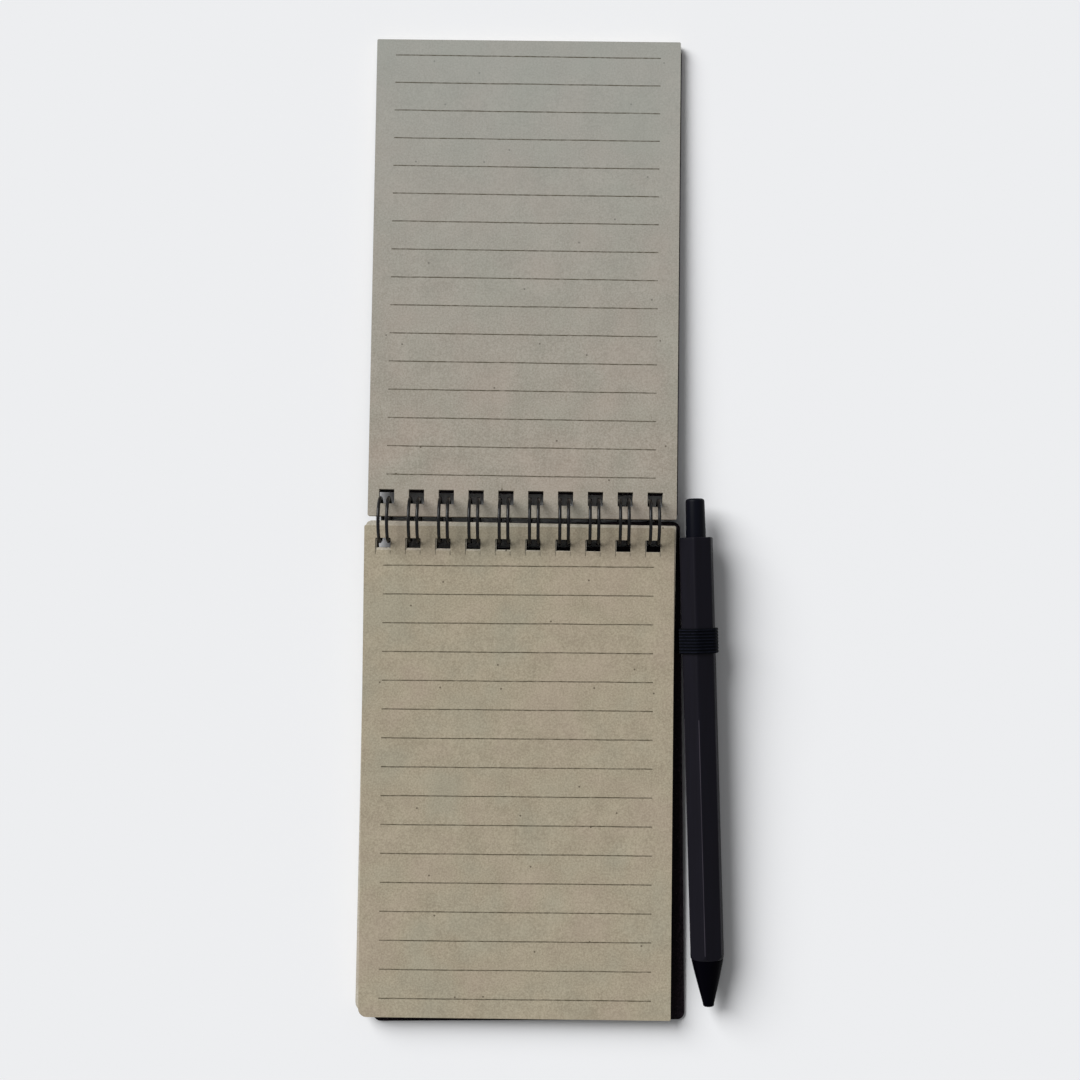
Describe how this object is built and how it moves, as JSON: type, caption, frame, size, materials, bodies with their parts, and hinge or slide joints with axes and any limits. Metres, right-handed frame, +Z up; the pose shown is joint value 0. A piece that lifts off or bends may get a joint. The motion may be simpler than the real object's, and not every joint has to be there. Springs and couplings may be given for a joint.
{
  "type": "reporter notebook",
  "caption": "Top-bound reporter's notebook with a twin-loop wire, lying open with pages turned, and a push-button pen held in an elastic loop at its side.",
  "frame": {"origin": "the middle of the bounding box's bottom, on the table under the open notebook", "axes": "+X along the binding wire, towards the pen's side; +Y from the binding towards the turned pages, the long way; +Z up from the table"},
  "size_m": [0.1034, 0.2807, 0.0133],
  "materials": {
    "cover_board": "thick black pressed board, dull, with a fine grain and a few pale specks",
    "paper": "uncoated grey-buff recycled writing paper with short fibres, ruled in faint grey-brown lines",
    "binding_wire": "steel wire with a smooth black nylon coat",
    "elastic": "black ribbed woven elastic, dull",
    "barrel_plastic": "black plastic with a satin skin",
    "nose_plastic": "black plastic, glossier than the barrel",
    "button_plastic": "black plastic with a satin skin",
    "cam_plastic": "natural white acetal",
    "spring_steel": "bright drawn spring steel",
    "refill_plastic": "milky plastic tube",
    "refill_brass": "turned brass"
  },
  "bodies": {
    "rear": {"rear_cover": "cover_board", "binding_wire": "binding_wire", "pen_loop": "elastic", "pen_barrel": "barrel_plastic", "pen_nose": "nose_plastic", "pen_spring": "spring_steel"},
    "block": {"page_block": "paper"},
    "front": {"front_cover": "cover_board", "turned_pages": "paper"},
    "button": {"pen_button": "button_plastic"},
    "refill": {"pen_cam": "cam_plastic", "refill_tube": "refill_plastic", "refill_tip": "refill_brass"}
  },
  "joints": [
    {"name": "block_turn", "type": "hinge", "parent": "rear", "child": "block", "pos_m": [-0.00727, 0.00122, 0.00668], "axis": [1, 0, 0], "range_deg": [-182.27, 0]},
    {"name": "front_turn", "type": "hinge", "parent": "rear", "child": "front", "pos_m": [-0.00727, 0.00122, 0.00668], "axis": [1, 0, 0], "range_deg": [0, 182.27]},
    {"name": "button_press", "type": "slide", "parent": "rear", "child": "button", "axis": [0.0349, -0.9992, -0.0196], "range_m": [0, 0.0045], "stiffness_N_per_m": 300, "springref_m": -0.004},
    {"name": "refill_advance", "type": "slide", "parent": "rear", "child": "refill", "axis": [0.0349, -0.9992, -0.0196], "range_m": [0, 0.0045], "deforming": ["pen_spring"]}
  ],
  "couplings": [
    {"joint": "refill_advance", "follows": "button_press", "ratio": 1}
  ]
}
